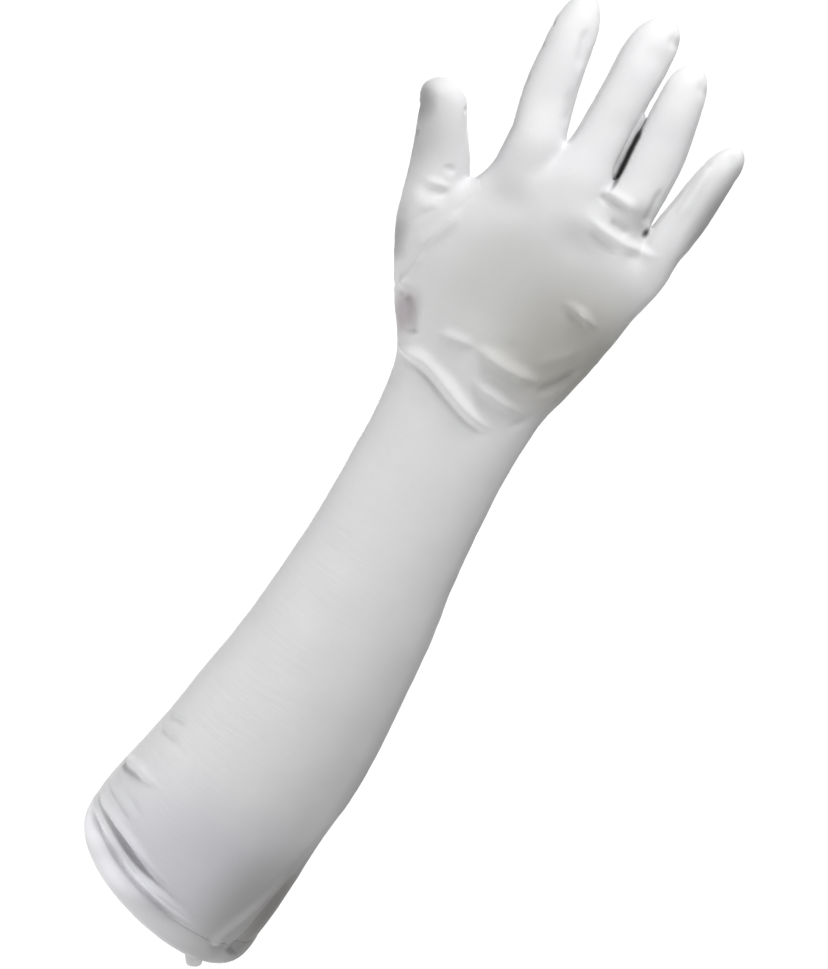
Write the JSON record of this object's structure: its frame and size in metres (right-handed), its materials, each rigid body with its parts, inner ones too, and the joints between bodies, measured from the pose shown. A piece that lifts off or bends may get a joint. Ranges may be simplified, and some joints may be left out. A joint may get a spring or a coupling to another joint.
{
  "type": "long cotton glove",
  "caption": "Long stretch cotton dress glove for the left hand, in its worn form, with sewn finger strips, a set-in thumb and a turned hem at the open cuff.",
  "frame": {"origin": "middle of the wrist, inside the glove, where the wearer's wrist holds it up", "axes": "+Z along the arm from the cuff to the fingertips, +X across the hand towards the little finger, -Y out of the palm"},
  "size_m": [0.1233, 0.0812, 0.4278],
  "materials": {
    "cotton_panel": "white stretch cotton knit with a soft sheen",
    "cotton_fourchette": "white stretch cotton knit with a soft sheen",
    "cotton_hem": "white stretch cotton knit, turned up and stitched"
  },
  "bodies": {
    "root": {"palm_panel": "cotton_panel", "back_panel": "cotton_panel", "thumb_palm_half": "cotton_panel", "thumb_back_half": "cotton_panel", "fourchette_index_middle": "cotton_fourchette", "fourchette_middle_ring": "cotton_fourchette", "fourchette_ring_little": "cotton_fourchette", "cuff_hem": "cotton_hem"}
  },
  "joints": []
}
